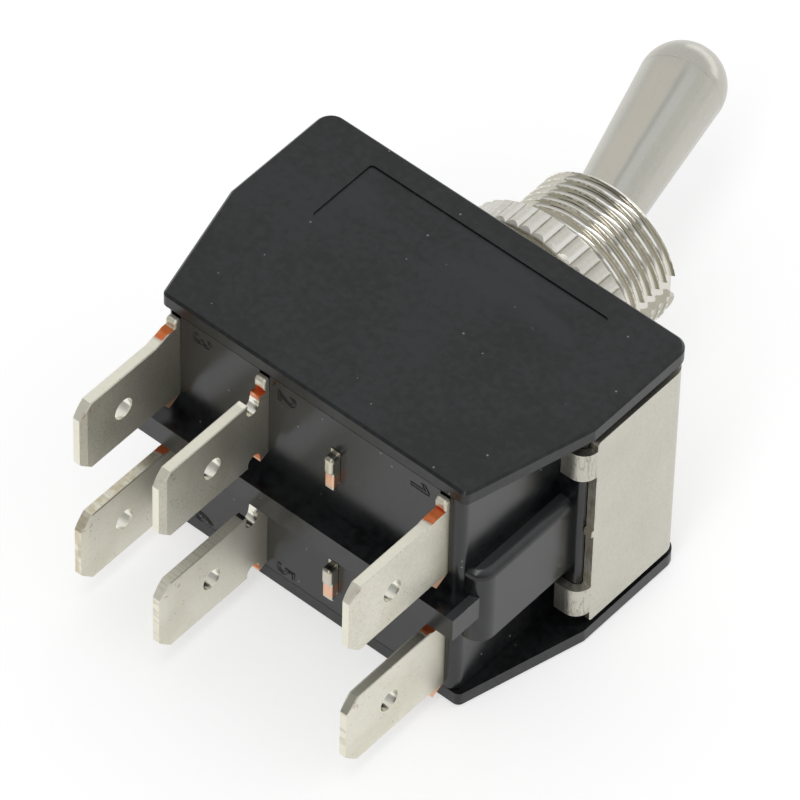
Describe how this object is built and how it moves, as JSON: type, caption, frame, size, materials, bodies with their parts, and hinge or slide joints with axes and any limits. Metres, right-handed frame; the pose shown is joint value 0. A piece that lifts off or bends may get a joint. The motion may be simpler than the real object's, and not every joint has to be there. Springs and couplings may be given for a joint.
{
  "type": "panel toggle switch",
  "caption": "Two-pole panel toggle switch: black moulded case in a bent steel frame, threaded bushing with serrated ring nut, tapered bat lever, flat push-on blades.",
  "frame": {"origin": "bushing axis at the outer face of the ring nut, where the panel seats", "axes": "+Y along the bushing, the way the lever points; +Z out of the marked face; +X across the lever's swing, away from the side it leans to"},
  "size_m": [0.031, 0.0581, 0.0214],
  "materials": {
    "case_moulding": "fine satin moulding, charcoal black",
    "base_moulding": "fine satin moulding, charcoal black",
    "frame_steel": "satin nickel plate with fine grain",
    "bushing_plate": "bright nickel plate on brass",
    "nut_plate": "matte nickel plate on brass",
    "lever_plate": "satin nickel plate on brass",
    "terminal_plate": "tin plate on brass, copper coloured cut edges",
    "copper_strip": "bare copper alloy strip",
    "contact_silver": "satin silver",
    "spring_steel": "drawn wire",
    "actuator_nylon": "natural nylon",
    "plunger_nylon": "smooth nylon"
  },
  "bodies": {
    "housing": {"case_shell": "case_moulding", "terminal_base": "base_moulding", "steel_frame": "frame_steel", "bushing": "bushing_plate", "ring_nut": "nut_plate", "end_terminal_1": "terminal_plate", "common_terminal_2": "terminal_plate", "end_terminal_3": "terminal_plate", "end_terminal_4": "terminal_plate", "common_terminal_5": "terminal_plate", "end_terminal_6": "terminal_plate", "fixed_contact_1": "contact_silver", "fixed_contact_3": "contact_silver", "fixed_contact_4": "contact_silver", "fixed_contact_6": "contact_silver"},
    "lever": {"lever": "lever_plate", "lever_pin": "spring_steel", "actuator": "actuator_nylon", "plunger_spring_a": "spring_steel", "plunger_spring_b": "spring_steel"},
    "plunger_a": {"plunger_a": "plunger_nylon"},
    "plunger_b": {"plunger_b": "plunger_nylon"},
    "rocker_a": {"rocker_a": "copper_strip", "moving_contact_1": "contact_silver", "moving_contact_3": "contact_silver"},
    "rocker_b": {"rocker_b": "copper_strip", "moving_contact_4": "contact_silver", "moving_contact_6": "contact_silver"}
  },
  "joints": [
    {"name": "lever_swing", "type": "hinge", "parent": "housing", "child": "lever", "pos_m": [0, 0.00035, 0], "axis": [0, 0, -1], "range_deg": [0, 31.14]},
    {"name": "plunger_slide_a", "type": "slide", "parent": "lever", "child": "plunger_a", "axis": [-0.2684, 0.9633, 0], "range_m": [0, 0.0004], "stiffness_N_per_m": 300, "springref_m": -0.002},
    {"name": "plunger_slide_b", "type": "slide", "parent": "lever", "child": "plunger_b", "axis": [-0.2684, 0.9633, 0], "range_m": [0, 0.0004], "stiffness_N_per_m": 300, "springref_m": -0.002},
    {"name": "rocker_tilt_a", "type": "hinge", "parent": "housing", "child": "rocker_a", "pos_m": [0, -0.0176, 0.0052], "axis": [0, 0, 1], "range_deg": [0, 16]},
    {"name": "rocker_tilt_b", "type": "hinge", "parent": "housing", "child": "rocker_b", "pos_m": [0, -0.0176, -0.0059], "axis": [0, 0, 1], "range_deg": [0, 16]}
  ],
  "couplings": [
    {"joint": "rocker_tilt_a", "follows": "lever_swing", "ratio": 0.5138},
    {"joint": "rocker_tilt_b", "follows": "lever_swing", "ratio": 0.5138}
  ]
}
